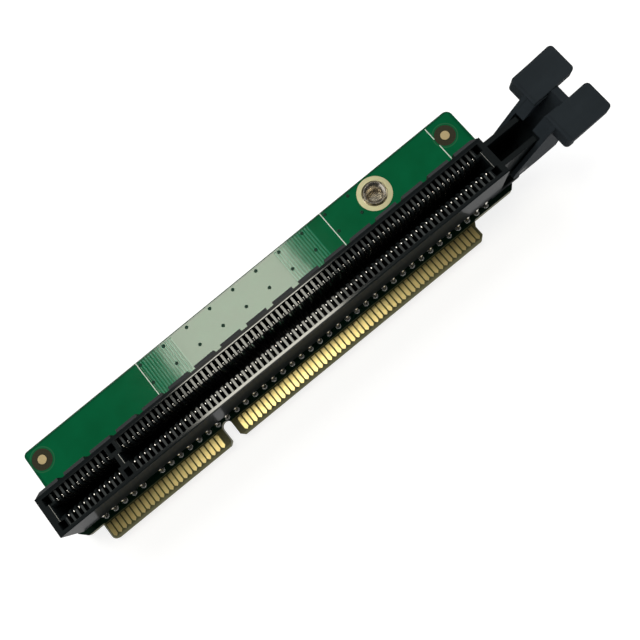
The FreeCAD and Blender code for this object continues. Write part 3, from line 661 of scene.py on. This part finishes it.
def add_tail_guides():
    """Moulded combs that close the cavities' undersides round the tails."""
    left, right = SLOT_ENDS[0] + END_WALL, SLOT_ENDS[1] - END_WALL
    inside, outside = COMB_REACH
    for side, label in SIDES:
        notches = []
        for place in tail_places(side, "outer"):
            first, last = place.x - NOTCH_REACH, place.x + NOTCH_REACH
            notches += [(first, outside), (first, outside - NOTCH_DEPTH),
                        (last, outside - NOTCH_DEPTH), (last, outside)]
        outline = [(left, inside), (right, inside), (right, outside), *reversed(notches),
                   (left, outside)]
        rings = [[(x, SLOT_CENTRE + side * reach, FACE + height) for x, reach in outline]
                 for height in COMB_HEIGHTS]
        made = lofted_mesh(f"{label}_tail_guide", rings, HOUSING_PLASTIC)
        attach(made, BOARD_BODY)


def add_latch_toe():
    """Curved lip of the latch that sweeps under the round ends of the cheeks."""
    hinge = Vector(frame["joints"][0]["pos_m"]) / MM
    inner, outer = 2.12, 2.60
    start, sweep, steps = -8, -62, 10
    section = ((inner, -EAR_REACH), (inner, EAR_REACH), (outer, EAR_REACH), (outer, -EAR_REACH))
    rings = []
    for step in range(steps + 1):
        angle = math.radians(start + sweep * step / steps)
        rings.append([(hinge.x + radius * math.cos(angle), hinge.y + reach,
                       hinge.z + radius * math.sin(angle)) for radius, reach in section])
    made = lofted_mesh("latch_toe", rings, LATCH_PLASTIC)
    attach(made, LATCH_BODY)


def add_latch_seat():
    """Rounded foot of the housing that the latch's ears stand over, at the board's end."""
    overhang, bottom, top, edge = 1.0, 0.05, 1.15, 0.3
    low = Vector((SLOT_ENDS[1], SLOT_CENTRE - EAR_REACH, FACE + bottom))
    high = Vector((BOARD_HIGH.x + overhang, SLOT_CENTRE + EAR_REACH, FACE + top))
    place = Matrix.Translation((low + high) / 2) @ Matrix.Diagonal((*(high - low), 1))
    work = bmesh.new()
    bmesh.ops.create_cube(work, size=1.0, matrix=Matrix.Scale(MM, 4) @ place)
    bmesh.ops.bevel(work, geom=work.edges[:], offset=edge * MM, segments=3, profile=0.5,
                    affect="EDGES")
    made = mesh_object("latch_seat", [], [], HOUSING_PLASTIC)
    work.to_mesh(made.data)
    work.free()
    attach(made, BOARD_BODY)


# ------------------------------------------------------------------ solder, vias, printed lines


def add_top_rings():
    """Plated rings round the outer tails on the component face."""
    profile = [(0.30, -0.02), (0.30, 0.0385), (0.365, 0.0665), (0.425, 0.07), (0.46, 0.042),
               (0.50, 0.0)]
    for side, label in SIDES:
        unit = turned_mesh(f"{label}_ring_unit", profile, 16, SOLDER, closed=True)
        made = stand_copies(f"{label}_top_rings", unit, tail_places(side, "outer"), SOLDER)


def add_back_solder():
    """Solder cones round the tails on the back."""
    profile = [(0.0, -1.05), (0.20, -1.0), (0.25, -0.6), (0.33, -0.25), (0.46, -0.04), (0.50, 0.0)]
    for side, label in SIDES:
        for row in ROWS:
            unit = turned_mesh(f"{label}_{row}_cone_unit", profile, 12, SOLDER)
            made = stand_copies(f"{label}_{row}_back_solder", unit, tail_places(side, row, BACK), SOLDER)


def add_vias():
    """Masked vias on both faces: a raised lip round a dimple."""
    profile = [(0.0, 0.006), (0.09, 0.010), (0.14, 0.035), (0.20, 0.040), (0.27, 0.02), (0.33, 0.0)]
    for side, height, label in ((1, FACE, "front"), (-1, BACK, "back")):
        places = [(FIRST_VIA + column * VIA_PITCH, SLOT_CENTRE + row, height)
                  for column in range(VIA_COLUMNS) for row in VIA_ROWS]
        section = [(radius, side * lift) for radius, lift in profile]
        unit = turned_mesh(f"{label}_via_unit", section, 16, VIA_MASK)
        made = stand_copies(f"{label}_masked_vias", unit, places, VIA_MASK)


def add_legend_lines():
    """Pale lines printed across the board, from pin one and the slot's centre."""
    vertices = []
    faces = []
    for middle, low, high in PRINTED_LINES:
        left = PIN_ONE + middle - LINE_WIDTH / 2
        right = PIN_ONE + middle + LINE_WIDTH / 2
        first = len(vertices)
        for x, y in ((left, low), (right, low), (right, high), (left, high)):
            vertices += [(x, SLOT_CENTRE + y, FACE), (x, SLOT_CENTRE + y, FACE + INK_THICKNESS)]
        faces.append((first + 1, first + 3, first + 5, first + 7))
        for corner in range(4):
            here, after = first + 2 * corner, first + 2 * ((corner + 1) % 4)
            faces.append((here, after, after + 1, here + 1))
    made = mesh_object("legend_lines", vertices, faces, INK)
    outward(made)
    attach(made, BOARD_BODY)


def add_thread():
    """Screw thread down the bush's bore."""
    crest, root, pitch, depth, steps = 1.28, 1.43, 0.6, 2.5, 28
    half_crest, half_root = 0.06 * pitch, 0.36 * pitch
    section = ((root, half_root), (crest, half_crest), (crest, -half_crest), (root, -half_root))
    total = int(depth / pitch * steps)
    vertices = []
    faces = []
    for step in range(total + 1):
        angle = 2 * math.pi * step / steps
        for radius, lift in section:
            vertices.append((radius * math.cos(angle), radius * math.sin(angle),
                             lift - pitch * step / steps))
    for first in range(0, total * 4, 4):
        for a in range(first, first + 3):
            faces.append((a, a + 1, a + 5, a + 4))
    made = mesh_object("bush_thread", vertices, faces, NICKEL)
    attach(made, BOARD_BODY)


add_contacts()
add_tail_guides()
add_latch_toe()
add_latch_seat()
add_top_rings()
add_back_solder()
add_vias()
add_legend_lines()
add_thread()


# ------------------------------------------------------------------ floor, lamps, camera


def add_floor():
    """Plain white table just below the object."""
    reach, gap = 4000, 0.02
    height = CAD_BOX[0].z / MM - gap
    corners = [(-reach, -reach, height), (reach, -reach, height), (reach, reach, height),
               (-reach, reach, height)]
    paint = Finish("white_table")
    rays = paint.node("ShaderNodeLightPath").outputs
    seen = Value(paint.tree, rays["Is Camera Ray"])
    for name in ("Is Glossy Ray", "Is Transmission Ray"):
        seen = seen.at_least(Value(paint.tree, rays[name]))
    lifted = paint.mix(seen, (0, 0, 0), (0.78, 0.78, 0.78))
    paint.set(Base_Color=(0.38, 0.38, 0.38), Roughness=0.9, Emission_Color=lifted,
              Emission_Strength=1.0)
    mesh_object("table", corners, [(0, 1, 2, 3)], paint.material)


def add_lamp(name, place, aim, width, depth, radiance, colour=(1, 1, 1)):
    """Rectangular soft box of a given radiance; its sizes are in millimetres."""
    data = bpy.data.lights.new(name, "AREA")
    data.shape = "RECTANGLE"
    data.size = width * MM
    data.size_y = depth * MM
    data.energy = radiance * math.pi * width * depth * MM * MM
    data.color = colour
    made = bpy.data.objects.new(name, data)
    bpy.context.scene.collection.objects.link(made)
    made.location = Vector(place) * MM
    towards = (Vector(aim) - Vector(place)).normalized()
    made.rotation_euler = towards.to_track_quat("-Z", "Y").to_euler()


def add_world(horizon, overhead):
    """Bright walls all round and a dim ceiling, as radiances."""
    world = bpy.data.worlds.new("studio")
    world.use_nodes = True
    tree = world.node_tree
    height = split(tree, add_node(tree, "ShaderNodeTexCoord").outputs["Generated"])[2]
    background = tree.nodes["Background"]
    feed(tree, background.inputs["Color"], (1, 1, 1))
    feed(tree, background.inputs["Strength"],
         height.step(0.20, 0.75) * (overhead - horizon) + horizon)
    bpy.context.scene.world = world


def add_camera():
    """Camera high over the near side, turned so that the slot runs from low left to high right."""
    data = bpy.data.cameras.new("camera")
    data.sensor_width = 36
    data.lens = 41.64
    data.shift_x = 0.032
    data.shift_y = 0.028
    data.clip_start = 0.01
    data.clip_end = 20
    made = bpy.data.objects.new("camera", data)
    bpy.context.scene.collection.objects.link(made)
    place = Vector((-27.16, -33.58, 122.46)) * MM
    tilt = Euler((0.181, -0.008, -0.024)).to_matrix()
    turn = Matrix.Rotation(math.radians(-38), 3, "Z")
    made.matrix_world = Matrix.Translation(place) @ (tilt @ turn).to_4x4()
    bpy.context.scene.camera = made


add_floor()
add_lamp("overhead_box", place=(-41.5, 62, 300), aim=(-41.5, 62, 0), width=97, depth=100,
         radiance=9.6, colour=(1.0, 0.97, 0.84))
add_lamp("far_fill", place=(-20, 420, 380), aim=(-20, 0, 0), width=700, depth=360, radiance=3.2)
add_lamp("near_fill", place=(-60, -620, 160), aim=(-25, 0, 0), width=500, depth=160, radiance=0.8)
add_world(horizon=1.0, overhead=0.05)
add_camera()
bpy.context.scene.view_settings.view_transform = "Standard"
